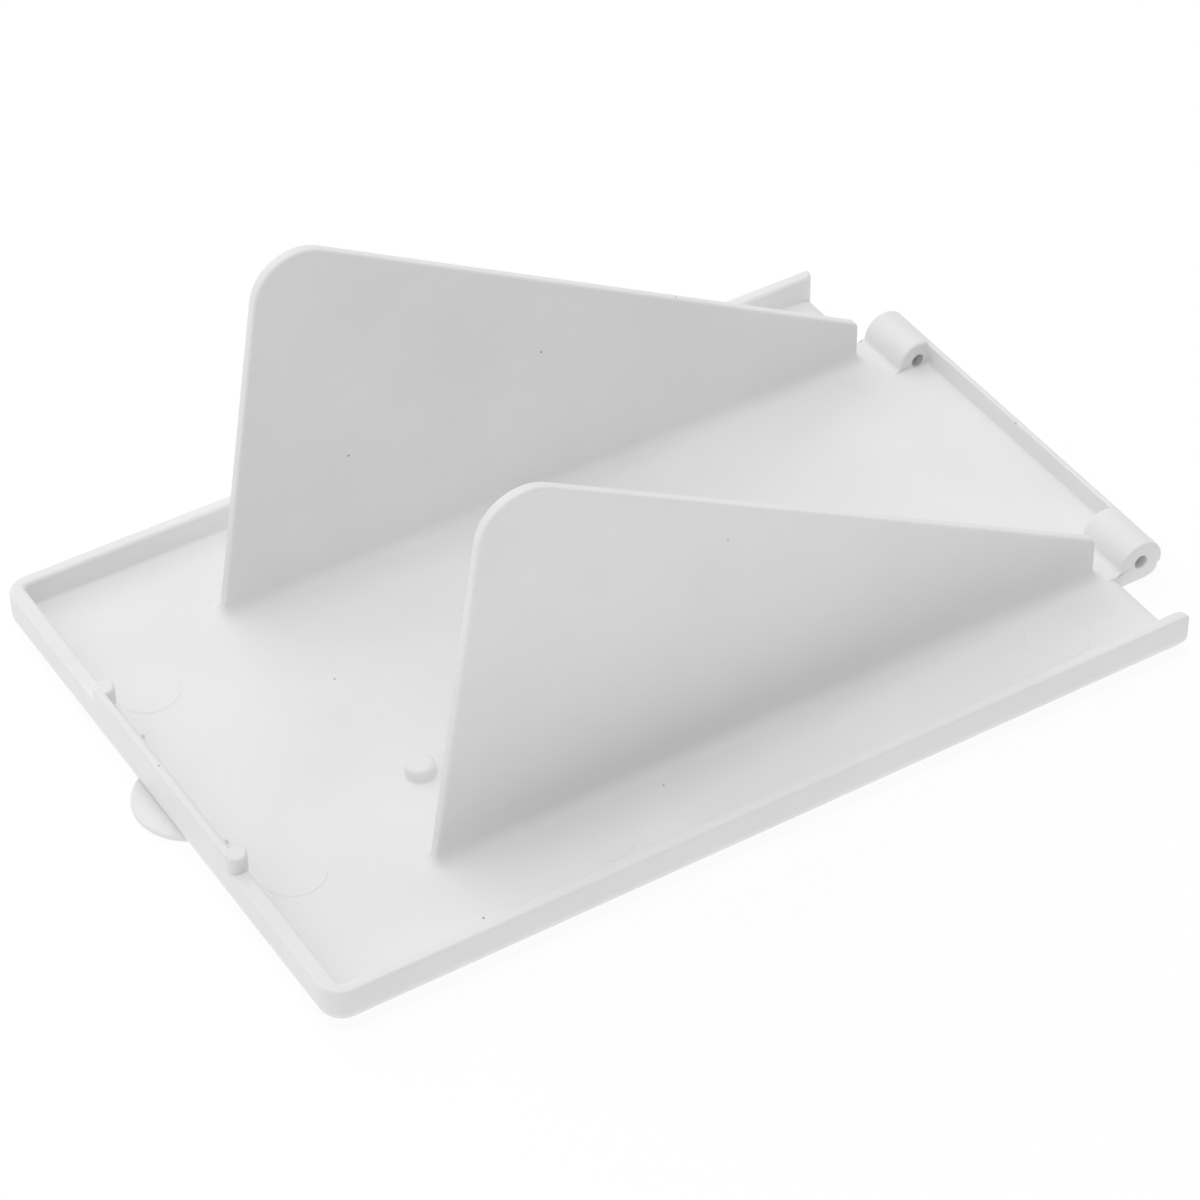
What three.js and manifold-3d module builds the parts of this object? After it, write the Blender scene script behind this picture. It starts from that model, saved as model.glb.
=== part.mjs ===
// Hinged drop flap, injection moulded in white ABS: a shallow rimmed panel with two tall guide fins,
// a raised catch and a thumb tab at the front, and two hinge barrels at the back.
// Millimetres, +Z up. X runs across the panel and Y from the front rim to the hinge.
// Shapes are laid out with Z = 0 on the panel's upper face and Y = 0 on the front rim's outer face.
// The finished group is then moved so that its origin is the centre of the box it fills, on the resting face.

import * as THREE from 'three';
import { mergeVertices } from 'three/addons/utils/BufferGeometryUtils.js';
import Module from 'manifold-3d';

const wasm = await Module();
wasm.setup();

// Panel
const PANEL_WIDTH = 100;
const PANEL_LENGTH = 143.3;
const PANEL_THICKNESS = 2.4;
const PLAN_CORNER_RADIUS = 3.8;
const UNDERSIDE_EDGE_RADIUS = 3.2;
const REAR_EDGE_RADIUS = 2.4;

// Rims
const RIM_HEIGHT = 4.4;
const SIDE_RIM_THICKNESS = 2.1;
const FRONT_RIM_THICKNESS = 2.7;
const RIM_REAR_CORNER_RADIUS = 0.6;
const RIM_HEEL_RADIUS = 1.5;

// Catch on the front rim
const CATCH_CENTRE_X = 1;
const CATCH_HALF_WIDTH = 20;
const CATCH_RISE = 2.7;
const CATCH_WALL_THICKNESS = 1.2;
const CATCH_BOSS_RADIUS = 1.6;
const CATCH_RIB_CENTRE_X = -0.8;
const CATCH_RIB_OFFSET = 12.7;
const CATCH_RIB_THICKNESS = 0.7;
const CATCH_RIB_LENGTH = 2;
const CATCH_RIB_HEIGHT = 0.8;

// Thumb tab under the front rim
const TAB_RADIUS = 8.9;
const TAB_CENTRE_Y = 5.4;
const TAB_TOP_Z = -0.8;
const TAB_EDGE_THICKNESS = 0.3;
const TAB_CHAMFER_WIDTH = 2.2;

// Guide fins
const FIN_CENTRE_X = -0.2;
const FIN_THICKNESS = 1.8;
const FIN_OFFSET = 31;
const FIN_FRONT_Y = 26.6;
const FIN_REAR_Y = 139.7;
const FIN_REAR_HEIGHT = 7.3;
const FIN_FRONT_LEAN = THREE.MathUtils.degToRad(9.5);
const FIN_TOP_SLOPE = THREE.MathUtils.degToRad(29.1);
const FIN_CORNER_RADIUS = 7.6;
const FIN_REAR_CORNER_RADIUS = 1;

// Locating peg on the panel
const PEG_X = 14.3;
const PEG_Y = 34.3;
const PEG_RADIUS = 2.25;
const PEG_HEIGHT = 2.2;

// Hinge
const HINGE_CENTRE_X = -0.4;
const BARREL_RADIUS = 3.7;
const BARREL_LENGTH = 10;
const BARREL_OUTER_X = 33.9;
const BARREL_FOOT_DEPTH = 0.3;
const BARREL_CENTRE_Y = 147.4;
const BARREL_CENTRE_Z = 0.5;
const BORE_RADIUS = 1.25;
const BORE_FORWARD = 0.2;
const BORE_RISE = 0.4;
const HINGE_WALL_FRONT = 1.4;
const HINGE_HEEL_RADIUS = 1.6;
const HINGE_LEDGE_Z = -0.4;

const ARC_SEGMENTS = 10;
const ROUND_SEGMENTS = 40;

// Worked out from the above
const HALF_WIDTH = PANEL_WIDTH / 2;
const PANEL_BOTTOM_Z = -PANEL_THICKNESS;
const INNER_HALF_WIDTH = HALF_WIDTH - SIDE_RIM_THICKNESS;
const REAR_EDGE_START_Y = PANEL_LENGTH - REAR_EDGE_RADIUS;
const CATCH_TOP_Z = RIM_HEIGHT + CATCH_RISE;
const BARREL_INNER_X = BARREL_OUTER_X - BARREL_LENGTH;
const BARREL_FRONT_Y = BARREL_CENTRE_Y - BARREL_RADIUS - BARREL_FOOT_DEPTH;
const HINGE_BACK_Y = BARREL_CENTRE_Y + BARREL_RADIUS;
const HINGE_WALL_FRONT_Y = BARREL_CENTRE_Y + HINGE_WALL_FRONT;
const TAB_FRONT_Y = TAB_CENTRE_Y - TAB_RADIUS;

const X_AXIS = new THREE.Vector3(1, 0, 0);
const Y_AXIS = new THREE.Vector3(0, 1, 0);
const Z_AXIS = new THREE.Vector3(0, 0, 1);

// A closed outline through [x, y, corner radius] points, each corner rounded by an arc of its own radius.
// The points run anticlockwise; a radius of 0 leaves the corner sharp.
function roundedOutline(corners) {
  const shape = new THREE.Shape();
  corners.forEach(([x, y, radius], i) => {
    const corner = new THREE.Vector2(x, y);
    const [px, py] = corners[(i + corners.length - 1) % corners.length];
    const [nx, ny] = corners[(i + 1) % corners.length];
    const back = new THREE.Vector2(px, py).sub(corner).normalize();
    const ahead = new THREE.Vector2(nx, ny).sub(corner).normalize();
    if (radius === 0) {
      shape[i === 0 ? 'moveTo' : 'lineTo'](x, y);
      return;
    }
    const halfAngle = Math.acos(back.dot(ahead)) / 2;
    const start = corner.clone().addScaledVector(back, radius / Math.tan(halfAngle));
    const end = corner.clone().addScaledVector(ahead, radius / Math.tan(halfAngle));
    const middle = back.clone().add(ahead).normalize();
    const centre = corner.clone().addScaledVector(middle, radius / Math.sin(halfAngle));
    const from = Math.atan2(start.y - centre.y, start.x - centre.x);
    const to = Math.atan2(end.y - centre.y, end.x - centre.x);
    shape[i === 0 ? 'moveTo' : 'lineTo'](start.x, start.y);
    shape.absarc(centre.x, centre.y, radius, from, to, false);
  });
  shape.closePath();
  return shape;
}

// An (X, Y) outline raised from z0 to z1.
function extrudeUp(shape, z0, z1) {
  const geometry = new THREE.ExtrudeGeometry(shape, {
    depth: z1 - z0,
    bevelEnabled: false,
    curveSegments: ARC_SEGMENTS,
  });
  return geometry.translate(0, 0, z0);
}

// A (Y, Z) outline swept across from x0 to x1.
function extrudeAcross(shape, x0, x1) {
  const geometry = extrudeUp(shape, x0, x1);
  return geometry.applyMatrix4(new THREE.Matrix4().makeBasis(Y_AXIS, Z_AXIS, X_AXIS));
}

function box(x0, x1, y0, y1, z0, z1) {
  const geometry = new THREE.BoxGeometry(x1 - x0, y1 - y0, z1 - z0);
  return geometry.translate((x0 + x1) / 2, (y0 + y1) / 2, (z0 + z1) / 2);
}

// A round post standing on z0.
function post(radius, z0, z1) {
  const geometry = new THREE.CylinderGeometry(radius, radius, z1 - z0, ROUND_SEGMENTS);
  return geometry.rotateX(Math.PI / 2).translate(0, 0, (z0 + z1) / 2);
}

function toSolid(geometry) {
  const bare = geometry.clone();
  bare.deleteAttribute('normal');
  bare.deleteAttribute('uv');
  const merged = mergeVertices(bare);
  return new wasm.Manifold(new wasm.Mesh({
    numProp: 3,
    vertProperties: merged.attributes.position.array,
    triVerts: new Uint32Array(merged.index.array),
  }));
}

function toGeometry(solid) {
  const mesh = solid.getMesh();
  const geometry = new THREE.BufferGeometry();
  geometry.setAttribute('position', new THREE.BufferAttribute(new Float32Array(mesh.vertProperties), 3));
  geometry.setIndex(new THREE.BufferAttribute(new Uint32Array(mesh.triVerts), 1));
  geometry.computeVertexNormals();
  return geometry;
}

// The panel and rims seen from above, drawn in by inset at the front and sides.
function planOutline(inset) {
  const x = HALF_WIDTH - inset;
  return roundedOutline([
    [-x, inset, PLAN_CORNER_RADIUS - inset],
    [x, inset, PLAN_CORNER_RADIUS - inset],
    [x, PANEL_LENGTH, 0],
    [-x, PANEL_LENGTH, 0],
  ]);
}

// The convex block that the panel and rims are cut from: its front and side edges are rounded underneath.
function edgeEnvelope() {
  const points = [];
  const addLevel = (inset, z) => {
    planOutline(inset).getPoints(ARC_SEGMENTS).forEach(({ x, y }) => points.push([x, y, z]));
  };
  addLevel(0, RIM_HEIGHT);
  for (let i = 0; i <= ARC_SEGMENTS; i += 1) {
    const angle = (i / ARC_SEGMENTS) * (Math.PI / 2);
    const inset = UNDERSIDE_EDGE_RADIUS * (1 - Math.cos(angle));
    addLevel(inset, PANEL_BOTTOM_Z + UNDERSIDE_EDGE_RADIUS * (1 - Math.sin(angle)));
  }
  return wasm.Manifold.hull(points);
}

// A flat slab with the tab's root left out, and a rounded rear edge on each side of the hinge shelf.
function floorPanelGeometry() {
  const slab = toSolid(box(-HALF_WIDTH, HALF_WIDTH, 0, REAR_EDGE_START_Y, PANEL_BOTTOM_Z, 0));
  const rearEdge = roundedOutline([
    [REAR_EDGE_START_Y, PANEL_BOTTOM_Z, 0],
    [PANEL_LENGTH, PANEL_BOTTOM_Z, 0],
    [PANEL_LENGTH, 0, REAR_EDGE_RADIUS],
    [REAR_EDGE_START_Y, 0, 0],
  ]);
  const leftEdge = extrudeAcross(rearEdge, -INNER_HALF_WIDTH, HINGE_CENTRE_X - BARREL_OUTER_X);
  const rightEdge = extrudeAcross(rearEdge, HINGE_CENTRE_X + BARREL_OUTER_X, INNER_HALF_WIDTH);
  const panel = slab.add(toSolid(leftEdge)).add(toSolid(rightEdge)).intersect(edgeEnvelope());
  return toGeometry(panel.subtract(tabRootSolid()));
}

// The block of panel edge that the tab takes the place of.
function tabRootSolid() {
  const halfWidth = Math.sqrt(TAB_RADIUS ** 2 - (TAB_CENTRE_Y - UNDERSIDE_EDGE_RADIUS) ** 2);
  return toSolid(box(-halfWidth, halfWidth, TAB_FRONT_Y, UNDERSIDE_EDGE_RADIUS, PANEL_BOTTOM_Z, TAB_TOP_Z));
}

// A disc with its underside chamfered to a thin edge, kept only as far back as the flat of the panel.
function thumbTabGeometry() {
  const disc = new THREE.LatheGeometry([
    new THREE.Vector2(0, PANEL_BOTTOM_Z),
    new THREE.Vector2(TAB_RADIUS - TAB_CHAMFER_WIDTH, PANEL_BOTTOM_Z),
    new THREE.Vector2(TAB_RADIUS, TAB_TOP_Z - TAB_EDGE_THICKNESS),
    new THREE.Vector2(TAB_RADIUS, TAB_TOP_Z),
    new THREE.Vector2(0, TAB_TOP_Z),
  ], ROUND_SEGMENTS * 2);
  disc.rotateX(Math.PI / 2).translate(0, TAB_CENTRE_Y, 0);
  return toGeometry(toSolid(disc).intersect(tabRootSolid()));
}

// The strip behind the panel that carries the barrels and, between them, runs back to the hinge wall.
function hingeShelfGeometry() {
  return extrudeUp(roundedOutline([
    [-BARREL_OUTER_X, REAR_EDGE_START_Y, 0],
    [BARREL_OUTER_X, REAR_EDGE_START_Y, 0],
    [BARREL_OUTER_X, BARREL_FRONT_Y, 0],
    [BARREL_INNER_X, BARREL_FRONT_Y, 0],
    [BARREL_INNER_X, HINGE_WALL_FRONT_Y, 0],
    [-BARREL_INNER_X, HINGE_WALL_FRONT_Y, 0],
    [-BARREL_INNER_X, BARREL_FRONT_Y, 0],
    [-BARREL_OUTER_X, BARREL_FRONT_Y, 0],
  ]), PANEL_BOTTOM_Z, 0);
}

// The front rim turns both outer corners and meets the side rims beyond them.
function frontRimGeometry() {
  const plan = extrudeUp(roundedOutline([
    [-HALF_WIDTH, 0, PLAN_CORNER_RADIUS],
    [HALF_WIDTH, 0, PLAN_CORNER_RADIUS],
    [HALF_WIDTH, PLAN_CORNER_RADIUS, 0],
    [INNER_HALF_WIDTH, PLAN_CORNER_RADIUS, 0],
    [INNER_HALF_WIDTH, FRONT_RIM_THICKNESS, 0],
    [-INNER_HALF_WIDTH, FRONT_RIM_THICKNESS, 0],
    [-INNER_HALF_WIDTH, PLAN_CORNER_RADIUS, 0],
    [-HALF_WIDTH, PLAN_CORNER_RADIUS, 0],
  ]), 0, RIM_HEIGHT);
  return toGeometry(toSolid(plan).intersect(edgeEnvelope()));
}

// A side rim stands on the panel, and beside the panel's rounded rear edge it reaches down to the underside.
// side is -1 for the left rim and 1 for the right one.
function sideRimGeometry(side) {
  const outline = roundedOutline([
    [PLAN_CORNER_RADIUS, 0, 0],
    [REAR_EDGE_START_Y, 0, 0],
    [REAR_EDGE_START_Y, PANEL_BOTTOM_Z, 0],
    [PANEL_LENGTH, PANEL_BOTTOM_Z, RIM_HEEL_RADIUS],
    [PANEL_LENGTH, RIM_HEIGHT, RIM_REAR_CORNER_RADIUS],
    [PLAN_CORNER_RADIUS, RIM_HEIGHT, 0],
  ]);
  const edges = [side * INNER_HALF_WIDTH, side * HALF_WIDTH];
  const rim = extrudeAcross(outline, Math.min(...edges), Math.max(...edges));
  return toGeometry(toSolid(rim).intersect(edgeEnvelope()));
}

// A thin wall on the front rim that fills the space between the two bosses.
function catchWallGeometry() {
  const end = CATCH_HALF_WIDTH - CATCH_BOSS_RADIUS;
  return box(-end, end, 0, CATCH_WALL_THICKNESS, RIM_HEIGHT, CATCH_TOP_Z);
}

function catchBossGeometry() {
  return post(CATCH_BOSS_RADIUS, RIM_HEIGHT, CATCH_TOP_Z);
}

function catchRibGeometry() {
  const half = CATCH_RIB_THICKNESS / 2;
  return box(-half, half, 0, CATCH_RIB_LENGTH, 0, CATCH_RIB_HEIGHT);
}

// A tall plate: a front edge that leans back, a large round corner, and a top that slopes down to the rear.
function finGeometry() {
  const frontRun = Math.tan(FIN_FRONT_LEAN);
  const topFall = Math.tan(FIN_TOP_SLOPE);
  const topAtFront = FIN_REAR_HEIGHT + topFall * (FIN_REAR_Y - FIN_FRONT_Y);
  const peakZ = topAtFront / (1 + topFall * frontRun);
  const peakY = FIN_FRONT_Y + frontRun * peakZ;
  const outline = roundedOutline([
    [FIN_FRONT_Y, 0, 0],
    [FIN_REAR_Y, 0, 0],
    [FIN_REAR_Y, FIN_REAR_HEIGHT, FIN_REAR_CORNER_RADIUS],
    [peakY, peakZ, FIN_CORNER_RADIUS],
  ]);
  return extrudeAcross(outline, -FIN_THICKNESS / 2, FIN_THICKNESS / 2);
}

// The back that the barrels and the hinge wall share, drawn about the barrels' centre: a round heel,
// a narrow ledge, and the barrel's own curve up to topAngle.
function drawHingeBack(shape, topAngle) {
  const bottom = PANEL_BOTTOM_Z - BARREL_CENTRE_Z;
  const ledge = HINGE_LEDGE_Z - BARREL_CENTRE_Z;
  const heelTop = bottom + HINGE_HEEL_RADIUS;
  shape.lineTo(HINGE_WALL_FRONT, bottom);
  shape.absarc(HINGE_WALL_FRONT, heelTop, HINGE_HEEL_RADIUS, -Math.PI / 2, 0, false);
  shape.lineTo(HINGE_WALL_FRONT + HINGE_HEEL_RADIUS, ledge);
  shape.absarc(0, 0, BARREL_RADIUS, Math.asin(ledge / BARREL_RADIUS), topAngle, false);
}

// A barrel about its own centre: round above, square-footed in front, with a bore right through.
function hingeBarrelGeometry() {
  const front = -BARREL_RADIUS - BARREL_FOOT_DEPTH;
  const shape = new THREE.Shape();
  shape.moveTo(front, PANEL_BOTTOM_Z - BARREL_CENTRE_Z);
  drawHingeBack(shape, Math.PI + Math.asin(BARREL_CENTRE_Z / BARREL_RADIUS));
  shape.lineTo(front, -BARREL_CENTRE_Z);
  shape.closePath();
  const bore = new THREE.Path();
  bore.absarc(-BORE_FORWARD, BORE_RISE, BORE_RADIUS, 0, 2 * Math.PI, true);
  shape.holes.push(bore);
  return extrudeAcross(shape, -BARREL_LENGTH / 2, BARREL_LENGTH / 2);
}

// The wall between the barrels follows their round backs, with a flat face towards the panel.
function hingeWallGeometry() {
  const shape = new THREE.Shape();
  shape.moveTo(HINGE_WALL_FRONT, PANEL_BOTTOM_Z - BARREL_CENTRE_Z);
  drawHingeBack(shape, Math.acos(HINGE_WALL_FRONT / BARREL_RADIUS));
  shape.closePath();
  return extrudeAcross(shape, -BARREL_INNER_X, BARREL_INNER_X);
}

function whiteAbs() {
  return new THREE.MeshStandardMaterial({ color: 0xeeeff0, roughness: 0.42, metalness: 0 });
}

function addPiece(parent, name, geometry, x = 0, y = 0, z = 0) {
  const mesh = new THREE.Mesh(geometry, whiteAbs());
  mesh.name = name;
  mesh.position.set(x, y, z);
  parent.add(mesh);
}

const flap = new THREE.Group();
addPiece(flap, 'floor_panel', floorPanelGeometry());
addPiece(flap, 'hinge_shelf', hingeShelfGeometry(), HINGE_CENTRE_X);
addPiece(flap, 'front_rim', frontRimGeometry());
addPiece(flap, 'catch_wall', catchWallGeometry(), CATCH_CENTRE_X);
addPiece(flap, 'thumb_tab', thumbTabGeometry());
addPiece(flap, 'locating_peg', post(PEG_RADIUS, 0, PEG_HEIGHT), PEG_X, PEG_Y);

for (const [side, word] of [[-1, 'left'], [1, 'right']]) {
  const bossX = CATCH_CENTRE_X + side * CATCH_HALF_WIDTH;
  const ribX = CATCH_RIB_CENTRE_X + side * CATCH_RIB_OFFSET;
  addPiece(flap, `${word}_rim`, sideRimGeometry(side));
  addPiece(flap, `${word}_fin`, finGeometry(), FIN_CENTRE_X + side * FIN_OFFSET);
  addPiece(flap, `${word}_catch_boss`, catchBossGeometry(), bossX, CATCH_BOSS_RADIUS);
  addPiece(flap, `${word}_catch_rib`, catchRibGeometry(), ribX, FRONT_RIM_THICKNESS);
}

const hinge = new THREE.Group();
hinge.position.set(HINGE_CENTRE_X, BARREL_CENTRE_Y, BARREL_CENTRE_Z);
addPiece(hinge, 'hinge_wall', hingeWallGeometry());
addPiece(hinge, 'left_hinge_barrel', hingeBarrelGeometry(), -BARREL_OUTER_X + BARREL_LENGTH / 2);
addPiece(hinge, 'right_hinge_barrel', hingeBarrelGeometry(), BARREL_OUTER_X - BARREL_LENGTH / 2);
flap.add(hinge);

flap.position.set(0, -(TAB_FRONT_Y + HINGE_BACK_Y) / 2, PANEL_THICKNESS);

export default flap;
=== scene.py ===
"""White moulded hinged flap: a piece for each CAD node, six ejector marks and a pale studio."""
import math

import bmesh
import bpy
from mathutils import Matrix, Vector


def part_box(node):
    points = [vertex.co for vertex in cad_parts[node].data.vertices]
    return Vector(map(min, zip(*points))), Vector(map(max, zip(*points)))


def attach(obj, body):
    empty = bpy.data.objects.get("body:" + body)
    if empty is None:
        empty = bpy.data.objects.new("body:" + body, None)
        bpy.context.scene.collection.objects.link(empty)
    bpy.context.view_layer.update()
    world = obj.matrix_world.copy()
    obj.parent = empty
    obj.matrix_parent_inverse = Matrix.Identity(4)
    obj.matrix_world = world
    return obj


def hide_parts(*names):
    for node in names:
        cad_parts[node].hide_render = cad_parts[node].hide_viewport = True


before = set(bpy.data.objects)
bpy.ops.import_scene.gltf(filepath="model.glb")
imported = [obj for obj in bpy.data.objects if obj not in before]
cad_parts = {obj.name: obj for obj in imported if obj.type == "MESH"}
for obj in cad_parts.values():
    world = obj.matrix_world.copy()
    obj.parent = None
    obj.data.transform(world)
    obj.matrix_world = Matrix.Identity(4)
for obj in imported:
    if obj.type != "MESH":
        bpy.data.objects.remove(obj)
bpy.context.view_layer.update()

MM = 0.001

# Shapes are laid out in millimetres from this point: X from the middle of the panel, Y from the front
# rim's outer face, Z from the panel's upper face.
ORIGIN = Vector((0.0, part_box("front_rim")[0].y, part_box("floor_panel")[1].z))

# Rim section
FRONT_RIM_THICKNESS = 2.7
UNDERSIDE_EDGE_RADIUS = 3.2
PLAN_CORNER_RADIUS = 3.8
INNER_CORNER_RADIUS = 0.7
RIM_OUTER_EDGE_RADIUS = 0.5
RIM_INNER_EDGE_RADIUS = 0.6
RIM_ROOT_FILLET = 0.45
RIM_FLANGE = 1.2
NOSE_RADIUS = 2.4
RIM_END_OUTER = 0.4
RIM_END_TOP = 0.6
RIM_END_TOP_KEEP = 0.1
RIM_END_INNER = 1.5
RIM_END_HEEL = 1.5
RIM_CORNER_STEPS = 14

# Fins
FIN_LEAN = math.radians(9.5)
FIN_SLOPE = math.radians(29.1)
FIN_REAR_HEIGHT = 7.3
FIN_PEAK_RADIUS = 7.6
FIN_PEAK_STEPS = 20
FIN_REAR_RADIUS = 1.0
FIN_EDGE_RADIUS = 0.45
FIN_ROOT_FILLET = 2.0

# Hinge
BARREL_RADIUS = 3.7
BARREL_ABOVE_FLOOR = 0.5
BARREL_EDGE_RADIUS = 0.45
BARREL_ROOT_FILLET = 0.9
BARREL_STEPS = 34
BARREL_POINT_GAP = 0.7
BARREL_HEEL_ROUNDING = 0.5
INNER_ROUNDING_FROM = 60
INNER_ROUNDING_FADE = 20
BORE_RADIUS = 1.1
BORE_SHIFT = (-0.2, 0.4)
BORE_CHAMFER = 0.15
WALL_FRONT = 1.4
WALL_EDGE_RADIUS = 0.3
WALL_ROOT_FILLET = 0.4
WALL_STEPS = 16
HEEL_RADIUS = 1.6
LEDGE_Z = -0.4

# Front details
CATCH_EDGE_RADIUS = 0.3
CATCH_ROOT_FILLET = 0.25
BOSS_EDGE_RADIUS = 0.5
BOSS_TOP_DROP = 0.02
RIB_EDGE_RADIUS = 0.2
RIB_CORNER_EXTRA = 0.05
RIB_SINK = 0.3
RIB_STEPS = 5
PEG_EDGE_RADIUS = 0.8
PEG_ROOT_FILLET = 0.35
PEG_SINK = 0.5
TAB_THICKNESS = 1.0
TAB_RADIUS = 8.9
TAB_CENTRE_Y = 5.4
TAB_TOP_Z = -0.8
TAB_ROOT_Y = 3.0
TAB_STEPS = 60
EJECTOR_RADIUS = 4.9
EJECTOR_RISE = 0.08
EJECTOR_SINK = 0.4
EJECTOR_BEVEL = ((0.0, 0.0), (0.05, 0.75), (0.15, 1.0))  # (inset, share of the rise)
EJECTOR_PLACES = {"front": (22.0, 9.5), "rear": (39.5, 127.4), "middle": (39.2, 49.0)}

# Mesh
ARC_STEPS = 8
EDGE_STEPS = 6
TURNED_STEPS = 48
MERGE_DIGITS = 4
SHARP_ANGLE = math.radians(35)
NORMAL_WEIGHT = 100

# Material
ABS_COLOUR = (0.90, 0.90, 0.90)
ABS_IOR = 1.53
ABS_SPECULAR = 0.35
CLOUD_SCALE = 38.0
CLOUD_SHADE = 0.96
SPECK_COLOUR = (0.16, 0.15, 0.14)
SPECK_SCALE = 115.0
SPECK_CORE = 0.012
SPECK_RIM = 0.024
GLOSS_SCALE = 240.0
ROUGHNESS_RANGE = (0.36, 0.50)
GRAIN_SCALE = 1800.0
GRAIN_STRENGTH = 0.35
GRAIN_HEIGHT = 0.00003

# Studio, in metres and watts
STAGE_HALF_WIDTH = 4.0
STAGE_DROP = 0.0002
STAGE_GREY = 0.2
STAGE_GLOW = 0.82
ROOM_DIM = 0.26
ROOM_BRIGHT = 0.82
ROOM_AXIS = (-0.35, 0.0, 0.94)
ROOM_DIM_BELOW = -0.35
LIGHT_TARGET = (0, 0, 0.01)
SOFTBOXES = {  # (place, size, power)
    "overhead_softbox": ((0.0, 0.0, 2.0), 0.6, 6.2),
    "left_softbox": ((-1.3, -0.2, 0.9), 1.4, 3.5),
    "front_softbox": ((0.0, -1.4, 0.9), 1.4, 1.8),
}

# Camera, with its angles in degrees
CAMERA_PLACE = (0.402107, -0.243819, 0.417633)
CAMERA_AZIMUTH = 58.839
CAMERA_ELEVATION = 41.213
CAMERA_ROLL = -0.953
CAMERA_LENS = 127.643
CAMERA_SENSOR = 36.0
CAMERA_CLIP = (0.05, 20.0)


def cad(node):
    """A CAD node's lowest and highest corners, in millimetres from ORIGIN."""
    lo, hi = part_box(node)
    return (lo - ORIGIN) / MM, (hi - ORIGIN) / MM


def steps(start, end, count=ARC_STEPS):
    """Evenly spaced values from start to end, both included."""
    return [start + (end - start) * i / count for i in range(count + 1)]


def arc(centre, radius, start, end, count=ARC_STEPS):
    """(x, y, nx, ny) round an arc given in degrees, with the normal pointing away from the centre."""
    out = []
    for degrees in steps(start, end, count):
        c, s = math.cos(math.radians(degrees)), math.sin(math.radians(degrees))
        out.append((centre[0] + radius * c, centre[1] + radius * s, c, s))
    return out


def hollow_arc(centre, radius, start, end, count=ARC_STEPS):
    """The same arc as a concave fillet: the normal points to the centre."""
    return [(x, y, -nx, -ny) for x, y, nx, ny in arc(centre, radius, start, end, count)]


def rounded_corner(corner, radius, start, end, count=ARC_STEPS):
    """The arc that rounds a corner between faces whose normals lie at start and end degrees."""
    middle = math.radians((start + end) / 2)
    half = math.radians(start - end) / 2
    to_centre = Vector((-math.cos(middle), -math.sin(middle))) * (radius / math.cos(half))
    return arc(corner + to_centre, radius, start, end, count)


class Shell:
    """Gathers faces into one closed mesh. Points that coincide become one vertex."""

    def __init__(self):
        self.points = {}
        self.faces = []

    def vertex(self, point):
        key = tuple(round(c, MERGE_DIGITS) for c in point)
        return self.points.setdefault(key, len(self.points))

    def face(self, points):
        ids = [self.vertex(p) for p in points]
        kept = [v for i, v in enumerate(ids) if v != ids[i - 1]]
        if len(set(kept)) > 2:
            self.faces.append(kept)

    def strip(self, a, b, closed=True):
        """Joins two rows of points with four-sided faces."""
        for i in range(0 if closed else 1, len(a)):
            self.face([a[i - 1], a[i], b[i], b[i - 1]])

    def loft(self, rings, caps=True):
        """Joins each ring to the next, and closes both ends where caps is true."""
        for a, b in zip(rings, rings[1:]):
            self.strip(a, b)
        if caps:
            self.face(rings[0])
            self.face(rings[-1])

    def build(self, name, *nodes):
        """Makes the piece, which stands for the CAD nodes where any are named."""
        mesh = bpy.data.meshes.new(name)
        points = [ORIGIN + Vector(p) * MM for p in self.points]
        mesh.from_pydata(points, [], self.faces)
        bm = bmesh.new()
        bm.from_mesh(mesh)
        bmesh.ops.recalc_face_normals(bm, faces=bm.faces)
        bm.to_mesh(mesh)
        bm.free()
        mesh.shade_smooth()
        mesh.set_sharp_from_angle(angle=SHARP_ANGLE)
        piece = bpy.data.objects.new(name, mesh)
        bpy.context.scene.collection.objects.link(piece)
        weighted = piece.modifiers.new("even_normals", "WEIGHTED_NORMAL")
        weighted.keep_sharp = True
        weighted.weight = NORMAL_WEIGHT
        mesh.materials.append(abs_material)
        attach(piece, "root")
        if nodes:
            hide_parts(*nodes)
        return piece


# ---------------------------------------------------------------- material

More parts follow.
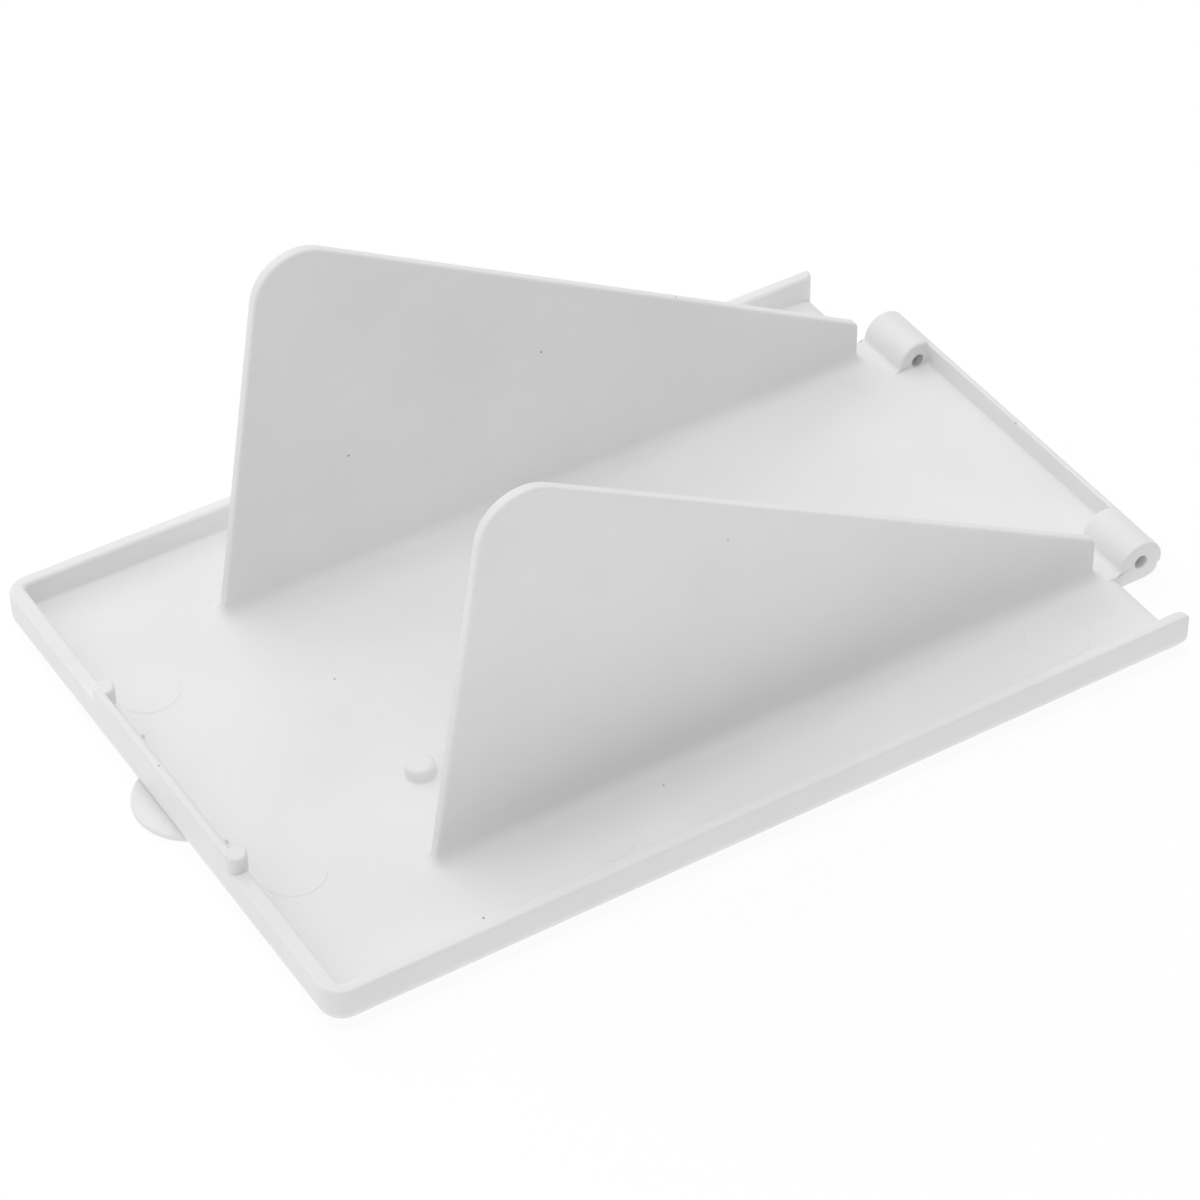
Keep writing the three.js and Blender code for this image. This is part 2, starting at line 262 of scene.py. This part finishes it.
def moulded_abs(name, colour):
    """White satin ABS: faint cloudiness, a fine moulded skin and a few trapped dark specks."""
    material = bpy.data.materials.new(name)
    material.use_nodes = True
    nodes, links = material.node_tree.nodes, material.node_tree.links
    shader = nodes["Principled BSDF"]
    place = nodes.new("ShaderNodeTexCoord")

    def noise(scale, detail):
        node = nodes.new("ShaderNodeTexNoise")
        node.inputs["Scale"].default_value = scale
        node.inputs["Detail"].default_value = detail
        links.new(place.outputs["Object"], node.inputs["Vector"])
        return node.outputs["Fac"]

    def spread(value, low, high, to_low, to_high):
        node = nodes.new("ShaderNodeMapRange")
        node.inputs["From Min"].default_value = low
        node.inputs["From Max"].default_value = high
        node.inputs["To Min"].default_value = to_low
        node.inputs["To Max"].default_value = to_high
        links.new(value, node.inputs["Value"])
        return node.outputs["Result"]

    def mix(factor, a, b):
        node = nodes.new("ShaderNodeMix")
        node.data_type = "RGBA"
        links.new(factor, node.inputs["Factor"])
        for socket, value in (("A", a), ("B", b)):
            target = [i for i in node.inputs if i.name == socket and i.type == "RGBA"][0]
            if isinstance(value, tuple):
                target.default_value = value
            else:
                links.new(value, target)
        return [o for o in node.outputs if o.type == "RGBA"][0]

    light = (*colour, 1.0)
    dull = (*(c * CLOUD_SHADE for c in colour), 1.0)
    cloud = mix(spread(noise(CLOUD_SCALE, 4.0), 0.35, 0.65, 0.0, 1.0), light, dull)

    specks = nodes.new("ShaderNodeTexVoronoi")
    specks.inputs["Scale"].default_value = SPECK_SCALE
    links.new(place.outputs["Object"], specks.inputs["Vector"])
    speck = spread(specks.outputs["Distance"], SPECK_CORE, SPECK_RIM, 1.0, 0.0)
    links.new(mix(speck, cloud, (*SPECK_COLOUR, 1.0)), shader.inputs["Base Color"])

    roughness = spread(noise(GLOSS_SCALE, 3.0), 0.3, 0.7, *ROUGHNESS_RANGE)
    links.new(roughness, shader.inputs["Roughness"])
    shader.inputs["IOR"].default_value = ABS_IOR
    shader.inputs["Specular IOR Level"].default_value = ABS_SPECULAR

    bump = nodes.new("ShaderNodeBump")
    bump.inputs["Strength"].default_value = GRAIN_STRENGTH
    bump.inputs["Distance"].default_value = GRAIN_HEIGHT
    links.new(noise(GRAIN_SCALE, 3.0), bump.inputs["Height"])
    links.new(bump.outputs["Normal"], shader.inputs["Normal"])
    return material


abs_material = moulded_abs("white_abs_skin", ABS_COLOUR)


# ---------------------------------------------------------------- rims and floor

BOTTOM_Z = cad("floor_panel")[0].z
RIM_LO, RIM_HI = cad("right_rim")
HALF_WIDTH = RIM_HI.x
SIDE_INNER_X = RIM_LO.x
RIM_TOP = RIM_HI.z
REAR_Y = RIM_HI.y
FRONT_INNER_Y = FRONT_RIM_THICKNESS
SIDE_RIM_THICKNESS = HALF_WIDTH - SIDE_INNER_X
FLOOR_X = SIDE_INNER_X - RIM_FLANGE
FLOOR_FRONT_Y = FRONT_INNER_Y + RIM_FLANGE
NOSE_START_Y = REAR_Y - NOSE_RADIUS


def rim_section():
    """The rim and the panel edge under it, as (outside, depth, z).

    Depth runs inward, from the outer face where outside is true and from the inner face elsewhere."""
    out = [(False, RIM_FLANGE, BOTTOM_Z)]
    centre = (UNDERSIDE_EDGE_RADIUS, BOTTOM_Z + UNDERSIDE_EDGE_RADIUS)
    out += [(True, d, z) for d, z, *_ in arc(centre, UNDERSIDE_EDGE_RADIUS, 270, 180, 12)]
    r = RIM_OUTER_EDGE_RADIUS
    out += [(True, d, z) for d, z, *_ in arc((r, RIM_TOP - r), r, 180, 90)]
    r = RIM_INNER_EDGE_RADIUS
    out += [(False, d, z) for d, z, *_ in arc((-r, RIM_TOP - r), r, 90, 0)]
    r = RIM_ROOT_FILLET
    out += [(False, d, z) for d, z, *_ in hollow_arc((r, r), r, 180, 270)]
    out.append((False, RIM_FLANGE, 0.0))
    return out


RIM_SECTION = rim_section()


def side_x(outside, depth):
    """X on the right side for a point of the rim section."""
    return (HALF_WIDTH if outside else SIDE_INNER_X) - depth


def side_rim(node, side):
    """The section swept back to the panel's rear edge, then a plain wall with a rounded end."""
    wall_foot_z = BOTTOM_Z + UNDERSIDE_EDGE_RADIUS - math.sqrt(
        UNDERSIDE_EDGE_RADIUS ** 2 - (UNDERSIDE_EDGE_RADIUS - SIDE_RIM_THICKNESS) ** 2)
    section = [(depth if outside else SIDE_RIM_THICKNESS + depth, z)
               for outside, depth, z in RIM_SECTION]
    wall = []
    for depth, z in section:
        past = depth - SIDE_RIM_THICKNESS
        if past > 0 and z > wall_foot_z:
            z += wall_foot_z * past / RIM_FLANGE
        wall.append((min(depth, SIDE_RIM_THICKNESS), max(z, wall_foot_z) if past > 0 else z))

    def ring(points, y):
        return [(side * (HALF_WIDTH - depth), y, z) for depth, z in points]

    rings = [ring(section, FLOOR_FRONT_Y), ring(section, NOSE_START_Y), ring(wall, NOSE_START_Y)]
    heel_top = BOTTOM_Z + UNDERSIDE_EDGE_RADIUS
    heel_keep = 1 - RIM_END_HEEL / UNDERSIDE_EDGE_RADIUS
    end_span = SIDE_RIM_THICKNESS - RIM_END_INNER - RIM_END_OUTER
    edge_z = RIM_TOP - RIM_END_TOP
    for turn in steps(0.0, math.pi / 2):
        points = []
        for depth, z in wall:
            end_depth = RIM_END_OUTER + end_span * depth / SIDE_RIM_THICKNESS
            end_z = edge_z + (z - edge_z) * RIM_END_TOP_KEEP if z > edge_z else z
            if z < heel_top:
                end_z = heel_top + (z - heel_top) * heel_keep
            reach = min(RIM_END_INNER, math.hypot(end_depth - depth, end_z - z))
            share = 1 - math.cos(turn)
            points.append((side * (HALF_WIDTH - depth - (end_depth - depth) * share),
                           REAR_Y - reach * (1 - math.sin(turn)), z + (end_z - z) * share))
        rings.append(points)
    shell = Shell()
    shell.loft(rings)
    return shell.build(node + "_piece", node)


def front_rim():
    """The section swept round both front corners and along the front."""
    def corner_point(turn, outside, depth):
        c, s = math.cos(turn), math.sin(turn)
        if outside:
            x0, y0 = HALF_WIDTH - PLAN_CORNER_RADIUS, PLAN_CORNER_RADIUS
            r = PLAN_CORNER_RADIUS - depth
        else:
            away = max(INNER_CORNER_RADIUS, depth)
            x0, y0 = SIDE_INNER_X - away, FRONT_INNER_Y + away
            r = max(0.0, INNER_CORNER_RADIUS - depth)
        return x0 + r * c, y0 - r * s

    half = [[(side_x(o, d), FLOOR_FRONT_Y, z) for o, d, z in RIM_SECTION]]
    for turn in steps(0.0, math.pi / 2, RIM_CORNER_STEPS):
        ring = []
        for o, d, z in RIM_SECTION:
            x, y = corner_point(turn, o, d)
            ring.append((x, y, z))
        half.append(ring)
    mirrored = [[(-x, y, z) for x, y, z in ring] for ring in reversed(half)]
    shell = Shell()
    shell.loft(half + mirrored)
    return shell.build("front_rim_piece", "front_rim")


def floor_panel():
    """The slab inside the rims, with a rounded rear edge on each side of the hinge shelf."""
    shelf_lo, shelf_hi = cad("hinge_shelf")
    xs = [-FLOOR_X, shelf_lo.x, shelf_hi.x, FLOOR_X]
    shell = Shell()
    for z in (0.0, BOTTOM_Z):
        rear = [(x, NOSE_START_Y, z) for x in reversed(xs)]
        shell.face([(-FLOOR_X, FLOOR_FRONT_Y, z), (FLOOR_X, FLOOR_FRONT_Y, z)] + rear)
    front = [[(x, FLOOR_FRONT_Y, z) for z in (0.0, BOTTOM_Z)] for x in (-FLOOR_X, FLOOR_X)]
    shell.strip(front[0], front[1], closed=False)
    for x in (-FLOOR_X, FLOOR_X):
        shell.face([(x, FLOOR_FRONT_Y, 0), (x, NOSE_START_Y, 0),
                    (x, NOSE_START_Y, BOTTOM_Z), (x, FLOOR_FRONT_Y, BOTTOM_Z)])
    nose = arc((NOSE_START_Y, BOTTOM_Z), NOSE_RADIUS, 90, 0)

    def nose_loop(x):
        return [(x, y, z) for y, z, *_ in nose] + [(x, NOSE_START_Y, BOTTOM_Z)]

    for outer, middle, inner in ((-SIDE_INNER_X, xs[0], xs[1]), (SIDE_INNER_X, xs[3], xs[2])):
        shell.strip(nose_loop(outer), nose_loop(middle), closed=False)
        shell.strip(nose_loop(middle), nose_loop(inner), closed=False)
        shell.face(nose_loop(outer))
        shell.face(nose_loop(inner))
        shell.face([(outer, NOSE_START_Y, 0), (middle, NOSE_START_Y, 0),
                    (middle, NOSE_START_Y, BOTTOM_Z), (outer, NOSE_START_Y, BOTTOM_Z)])
    shell.face([(xs[1], NOSE_START_Y, 0), (xs[2], NOSE_START_Y, 0),
                (xs[2], NOSE_START_Y, BOTTOM_Z), (xs[1], NOSE_START_Y, BOTTOM_Z)])
    return shell.build("floor_panel_piece", "floor_panel")


def hinge_shelf():
    """The strip behind the panel, cut away where the two barrels stand."""
    lo, hi = cad("hinge_shelf")
    left_in = cad("left_hinge_barrel")[1].x
    right_in = cad("right_hinge_barrel")[0].x
    front = cad("left_hinge_barrel")[0].y
    plan = [(lo.x, lo.y), (hi.x, lo.y), (hi.x, front), (right_in, front),
            (right_in, hi.y), (left_in, hi.y), (left_in, front), (lo.x, front)]
    shell = Shell()
    shell.loft([[(x, y, z) for x, y in plan] for z in (0.0, BOTTOM_Z)])
    return shell.build("hinge_shelf_piece", "hinge_shelf")


# ---------------------------------------------------------------- fins

def fin_outline(lo, hi):
    """(y, z, ny, nz) from the foot of the front edge, over the top, to the foot of the rear edge."""
    front_run, top_fall = math.tan(FIN_LEAN), math.tan(FIN_SLOPE)
    peak_z = (FIN_REAR_HEIGHT + top_fall * (hi.y - lo.y)) / (1 + top_fall * front_run)
    peak = Vector((lo.y + front_run * peak_z, peak_z))
    rear = Vector((hi.y, FIN_REAR_HEIGHT))
    foot_z = FIN_ROOT_FILLET
    front_angle = 180 - math.degrees(FIN_LEAN)
    top_angle = 90 - math.degrees(FIN_SLOPE)
    out = [(lo.y + front_run * foot_z, foot_z, -1 / math.cos(FIN_LEAN), 0.0)]
    out += rounded_corner(peak, FIN_PEAK_RADIUS, front_angle, top_angle, FIN_PEAK_STEPS)
    out += rounded_corner(rear, FIN_REAR_RADIUS, top_angle, 0)
    out.append((hi.y, foot_z, 1.0, 0.0))
    return out


def fin(node):
    """A tall plate with rounded front, top and rear edges, flaring into the floor."""
    lo, hi = cad(node)
    outline = fin_outline(lo, hi)
    r = FIN_EDGE_RADIUS
    across = [(lo.x + (r - r * math.cos(a)), r - r * math.sin(a))
              for a in steps(0, math.pi / 2, EDGE_STEPS)]
    across += [(hi.x - (x - lo.x), inset) for x, inset in reversed(across)]
    shell = Shell()
    ribs = [[(x, y - ny * inset, z - nz * inset) for y, z, ny, nz in outline] for x, inset in across]
    for a, b in zip(ribs, ribs[1:]):
        shell.strip(a, b, closed=False)
    shell.face(ribs[0])
    shell.face(ribs[-1])
    foot = []
    for end in (0, -1):
        toward = -1 if end == 0 else 1
        loop = []
        for (x, _), rib in zip(across, ribs):
            side = -1 if x < (lo.x + hi.x) / 2 else 1
            from_face = min(x - lo.x, hi.x - x)
            nx = side * (1 - from_face / r) if from_face < r else 0.0
            loop.append((rib[end], nx, toward * math.sqrt(max(0.0, 1 - nx * nx))))
        foot += loop if end == 0 else list(reversed(loop))
    rings = []
    for turn in steps(0.0, math.pi / 2):
        out = FIN_ROOT_FILLET * (1 - math.cos(turn))
        z = FIN_ROOT_FILLET * (1 - math.sin(turn))
        rings.append([(p[0] + nx * out, p[1] + ny * out, z) for p, nx, ny in foot])
    shell.loft(rings, caps=False)
    shell.face(rings[-1])
    return shell.build(node + "_piece", node)


# ---------------------------------------------------------------- hinge

def subdivide(loop, gap):
    """Adds points along the long straight stretches of a closed loop."""
    out = []
    for i, point in enumerate(loop):
        ahead = loop[(i + 1) % len(loop)]
        pieces = max(1, math.ceil(math.dist(point[:2], ahead[:2]) / gap))
        for k in range(pieces):
            share = k / pieces
            place = [point[j] + (ahead[j] - point[j]) * share for j in (0, 1)]
            out.append((*place, *point[2:]))
    return out


def hinge_back():
    """The underside's height, the outline round the heel to the ledge, and the ledge's height.

    All are measured from the barrels' centre."""
    bottom = BOTTOM_Z - BARREL_ABOVE_FLOOR
    heel = arc((WALL_FRONT, bottom + HEEL_RADIUS), HEEL_RADIUS, -90, 0)
    ledge = LEDGE_Z - BARREL_ABOVE_FLOOR
    return bottom, heel + [(WALL_FRONT + HEEL_RADIUS, ledge, 1.0, 0.0)], ledge


def barrel(node, outer_side):
    """A bored barrel on its foot. Its inner end is rounded only over the top and front."""
    lo, hi = cad(node)
    centre_y = hi.y - BARREL_RADIUS
    bottom, back, ledge = hinge_back()
    floor = -BARREL_ABOVE_FLOOR
    foot = lo.y - centre_y
    f = BARREL_ROOT_FILLET
    fillet_y = -math.sqrt((BARREL_RADIUS + f) ** 2 - (floor + f) ** 2)
    meet = math.degrees(math.atan2(floor + f, fillet_y))
    start = math.degrees(math.asin(ledge / BARREL_RADIUS))
    loop = [(foot, bottom, 0.0, 0.0)]
    loop += [(*p, BARREL_HEEL_ROUNDING) for p in back]
    loop += [(*p, 1.0) for p in arc((0, 0), BARREL_RADIUS, start, meet, BARREL_STEPS)]
    fillet = hollow_arc((fillet_y, floor + f), f, meet - 180, -90)
    loop += [(*p, 1.0 - (i + 1) / len(fillet)) for i, p in enumerate(fillet)]
    loop += [(foot, floor, 0.0, 0.0)]
    loop = subdivide([p if len(p) == 5 else (*p, 0.0) for p in loop], BARREL_POINT_GAP)

    def edge_weight(point, outer_end):
        y, z, _, _, weight = point
        if outer_end:
            return weight
        angle = math.degrees(math.atan2(z, y))
        return weight * min(1.0, max(0.0, (angle - INNER_ROUNDING_FROM) / INNER_ROUNDING_FADE))

    def ring(x, inset, outer_end):
        out = []
        for point in loop:
            y, z, ny, nz, _ = point
            d = inset * edge_weight(point, outer_end)
            out.append((x, centre_y + y - ny * d, BARREL_ABOVE_FLOOR + z - nz * d))
        return out

    def bore_ring(x, radius):
        out = []
        for y, z, *_ in loop:
            a = math.atan2(z - BORE_SHIFT[1], y - BORE_SHIFT[0])
            out.append((x, centre_y + BORE_SHIFT[0] + radius * math.cos(a),
                        BARREL_ABOVE_FLOOR + BORE_SHIFT[1] + radius * math.sin(a)))
        return out

    r = BARREL_EDGE_RADIUS
    rounding = [(r * (1 - math.cos(a)), r * (1 - math.sin(a)))
                for a in steps(0, math.pi / 2, EDGE_STEPS)]
    rings = [ring(lo.x + x, inset, outer_side < 0) for x, inset in rounding]
    rings += [ring(hi.x - x, inset, outer_side > 0) for x, inset in reversed(rounding)]
    rings += [bore_ring(hi.x, BORE_RADIUS + BORE_CHAMFER), bore_ring(hi.x - BORE_CHAMFER, BORE_RADIUS),
              bore_ring(lo.x + BORE_CHAMFER, BORE_RADIUS), bore_ring(lo.x, BORE_RADIUS + BORE_CHAMFER)]
    shell = Shell()
    shell.loft(rings + rings[:1], caps=False)
    return shell.build(node + "_piece", node)


def hinge_wall():
    """The low wall between the barrels. Its back follows their curve, and its front is plain."""
    lo, hi = cad("hinge_wall")
    centre_y = cad("left_hinge_barrel")[1].y - BARREL_RADIUS
    bottom, back, ledge = hinge_back()
    floor = -BARREL_ABOVE_FLOOR
    q, f = WALL_EDGE_RADIUS, WALL_ROOT_FILLET
    lip_z = math.sqrt((BARREL_RADIUS - q) ** 2 - (WALL_FRONT + q) ** 2)
    lip = math.degrees(math.atan2(lip_z, WALL_FRONT + q))
    start = math.degrees(math.asin(ledge / BARREL_RADIUS))
    loop = [p[:2] for p in back]
    loop += [p[:2] for p in arc((0, 0), BARREL_RADIUS, start, lip, WALL_STEPS)]
    loop += [p[:2] for p in arc((WALL_FRONT + q, lip_z), q, lip, 180)[1:]]
    loop += [p[:2] for p in hollow_arc((WALL_FRONT - f, floor + f), f, 0, -90)]
    loop += [(WALL_FRONT, floor)]
    shell = Shell()
    shell.loft([[(x, centre_y + y, BARREL_ABOVE_FLOOR + z) for y, z in loop] for x in (lo.x, hi.x)])
    return shell.build("hinge_wall_piece", "hinge_wall")


# ---------------------------------------------------------------- front details

def turned(name, centre, profile, *nodes):
    """A round piece from (radius, z) pairs, bottom to top."""
    rings = []
    for radius, z in profile:
        rings.append([(centre[0] + radius * math.cos(a), centre[1] + radius * math.sin(a), z)
                      for a in steps(0, 2 * math.pi, TURNED_STEPS)[:-1]])
    shell = Shell()
    shell.loft(rings)
    return shell.build(name, *nodes)


def peg():
    """A round post with a foot sunk in the panel, a root fillet and a rounded top."""
    lo, hi = cad("locating_peg")
    centre, radius = (lo + hi) / 2, (hi.x - lo.x) / 2
    e, f = PEG_EDGE_RADIUS, PEG_ROOT_FILLET
    profile = [(radius + f, -PEG_SINK)]
    profile += [p[:2] for p in hollow_arc((radius + f, f), f, -90, -180)]
    profile += [p[:2] for p in arc((radius - e, hi.z - e), e, 0, 90)]
    return turned("locating_peg_piece", centre, profile, "locating_peg")


def catch_boss(node):
    """A round boss, sunk in the rim and a hair lower than the wall that ends in it."""
    lo, hi = cad(node)
    centre, radius = (lo + hi) / 2, (hi.x - lo.x) / 2
    e = BOSS_EDGE_RADIUS
    top = hi.z - BOSS_TOP_DROP
    profile = [(radius, lo.z - e)] + [p[:2] for p in arc((radius - e, top - e), e, 0, 90)]
    return turned(node + "_piece", centre, profile, node)


def catch_wall():
    """A wall with rounded top edges, sunk in the rim. It ends in the middle of each boss."""
    lo, hi = cad("catch_wall")
    e, f = CATCH_EDGE_RADIUS, CATCH_ROOT_FILLET
    sunk = lo.z - RIM_OUTER_EDGE_RADIUS
    loop = [(lo.y, sunk)]
    loop += [p[:2] for p in arc((lo.y + e, hi.z - e), e, 180, 90)]
    loop += [p[:2] for p in arc((hi.y - e, hi.z - e), e, 90, 0)]
    loop += [p[:2] for p in hollow_arc((hi.y + f, lo.z + f), f, 180, 270)]
    loop += [(hi.y + f, sunk)]
    boss = (cad("left_catch_boss")[1].x - cad("left_catch_boss")[0].x) / 2
    shell = Shell()
    shell.loft([[(x, y, z) for y, z in loop] for x in (lo.x - boss, hi.x + boss)])
    return shell.build("catch_wall_piece", "catch_wall")


def catch_rib(node):
    """A small block with rounded free edges, sunk in the floor and in the rim."""
    lo, hi = cad(node)
    e = RIB_EDGE_RADIUS
    levels = [(-RIB_SINK, 0.0)]
    levels += [(hi.z - e + e * math.sin(a), e - e * math.cos(a))
               for a in steps(0, math.pi / 2, RIB_STEPS)]
    rings = []
    for z, inset in levels:
        r = e + RIB_CORNER_EXTRA - inset
        x0, x1, y1 = lo.x + inset + r, hi.x - inset - r, hi.y - inset - r
        ring = [(lo.x + inset, lo.y - RIB_SINK, z), (hi.x - inset, lo.y - RIB_SINK, z)]
        ring += [(x, y, z) for x, y, *_ in arc((x1, y1), r, 0, 90, RIB_STEPS)]
        ring += [(x, y, z) for x, y, *_ in arc((x0, y1), r, 90, 180, RIB_STEPS)]
        rings.append(ring)
    shell = Shell()
    shell.loft(rings)
    return shell.build(node + "_piece", node)


def thumb_tab():
    """A round ledge with a full round edge, its root buried in the panel's edge."""
    reach = math.degrees(math.asin((TAB_CENTRE_Y - TAB_ROOT_Y) / TAB_RADIUS))
    plan = arc((0, TAB_CENTRE_Y), TAB_RADIUS, 180 + reach, 360 - reach, TAB_STEPS)
    half = TAB_THICKNESS / 2
    rings = []
    for turn in steps(-90, 90, 2 * EDGE_STEPS):
        inset = half * (1 - math.cos(math.radians(turn)))
        z = TAB_TOP_Z - half + half * math.sin(math.radians(turn))
        rings.append([(x - nx * inset, y - ny * inset, z) for x, y, nx, ny in plan])
    shell = Shell()
    shell.loft(rings)
    return shell.build("thumb_tab_piece", "thumb_tab")


def ejector_marks():
    """Faint round witness marks that stand a hair proud of the floor."""
    profile = [(EJECTOR_RADIUS, -EJECTOR_SINK)]
    profile += [(EJECTOR_RADIUS - inset, EJECTOR_RISE * share) for inset, share in EJECTOR_BEVEL]
    for side, word in ((-1, "left"), (1, "right")):
        for place, (x, y) in EJECTOR_PLACES.items():
            turned(f"{word}_{place}_ejector_mark", (side * x, y), profile)


floor_panel()
hinge_shelf()
front_rim()
side_rim("left_rim", -1)
side_rim("right_rim", 1)
fin("left_fin")
fin("right_fin")
barrel("left_hinge_barrel", -1)
barrel("right_hinge_barrel", 1)
hinge_wall()
peg()
catch_wall()
catch_boss("left_catch_boss")
catch_boss("right_catch_boss")
catch_rib("left_catch_rib")
catch_rib("right_catch_rib")
thumb_tab()
ejector_marks()


# ---------------------------------------------------------------- studio

def studio_floor():
    """A wide pale floor that glows a little, so that it stays even and takes only a soft shadow."""
    mesh = bpy.data.meshes.new("studio_floor")
    size = STAGE_HALF_WIDTH
    corners = [(-size, -size, 0), (size, -size, 0), (size, size, 0), (-size, size, 0)]
    mesh.from_pydata(corners, [], [(0, 1, 2, 3)])
    floor = bpy.data.objects.new("studio_floor", mesh)
    floor.location.z = -STAGE_DROP
    bpy.context.scene.collection.objects.link(floor)
    material = bpy.data.materials.new("studio_paper")
    material.use_nodes = True
    shader = material.node_tree.nodes["Principled BSDF"]
    shader.inputs["Base Color"].default_value = (STAGE_GREY, STAGE_GREY, STAGE_GREY, 1.0)
    shader.inputs["Roughness"].default_value = 1.0
    shader.inputs["Specular IOR Level"].default_value = 0.0
    shader.inputs["Emission Color"].default_value = (1.0, 1.0, 1.0, 1.0)
    shader.inputs["Emission Strength"].default_value = STAGE_GLOW
    mesh.materials.append(material)


def area_light(name, place, size, power):
    """A square light that faces the part."""
    data = bpy.data.lights.new(name, "AREA")
    data.shape = "SQUARE"
    data.size = size
    data.energy = power
    light = bpy.data.objects.new(name, data)
    light.location = place
    direction = Vector(LIGHT_TARGET) - Vector(place)
    light.rotation_euler = direction.to_track_quat("-Z", "Y").to_euler()
    bpy.context.scene.collection.objects.link(light)


def world_light():
    """A white room that is dim away from ROOM_AXIS and brightens towards it."""
    world = bpy.data.worlds.new("soft_room")
    world.use_nodes = True
    nodes, links = world.node_tree.nodes, world.node_tree.links
    place = nodes.new("ShaderNodeTexCoord")
    towards = nodes.new("ShaderNodeVectorMath")
    towards.operation = "DOT_PRODUCT"
    towards.inputs[1].default_value = Vector(ROOM_AXIS).normalized()
    level = nodes.new("ShaderNodeMapRange")
    level.inputs["From Min"].default_value = ROOM_DIM_BELOW
    level.inputs["To Min"].default_value = ROOM_DIM
    level.inputs["To Max"].default_value = ROOM_BRIGHT
    links.new(place.outputs["Generated"], towards.inputs[0])
    links.new(towards.outputs["Value"], level.inputs["Value"])
    background = nodes["Background"]
    background.inputs["Color"].default_value = (1.0, 1.0, 1.0, 1.0)
    links.new(level.outputs["Result"], background.inputs["Strength"])
    bpy.context.scene.world = world


def camera():
    """Looks along its azimuth and elevation, turned by its roll about the line of sight."""
    azimuth, elevation = math.radians(CAMERA_AZIMUTH), math.radians(CAMERA_ELEVATION)
    roll = math.radians(CAMERA_ROLL)
    back = Vector((math.sin(azimuth) * math.cos(elevation),
                   -math.cos(azimuth) * math.cos(elevation), math.sin(elevation)))
    right = Vector((math.cos(azimuth), math.sin(azimuth), 0.0))
    up = back.cross(right)
    turned_right = right * math.cos(roll) + up * math.sin(roll)
    turned_up = up * math.cos(roll) - right * math.sin(roll)
    data = bpy.data.cameras.new("camera")
    data.lens = CAMERA_LENS
    data.sensor_width = CAMERA_SENSOR
    data.clip_start, data.clip_end = CAMERA_CLIP
    eye = bpy.data.objects.new("camera", data)
    turn = Matrix((turned_right, turned_up, back)).transposed().to_4x4()
    eye.matrix_world = Matrix.Translation(CAMERA_PLACE) @ turn
    bpy.context.scene.collection.objects.link(eye)
    bpy.context.scene.camera = eye


studio_floor()
world_light()
for softbox, (place, size, power) in SOFTBOXES.items():
    area_light(softbox, place, size, power)
camera()

scene = bpy.context.scene
scene.view_settings.view_transform = "Standard"
scene.view_settings.look = "None"
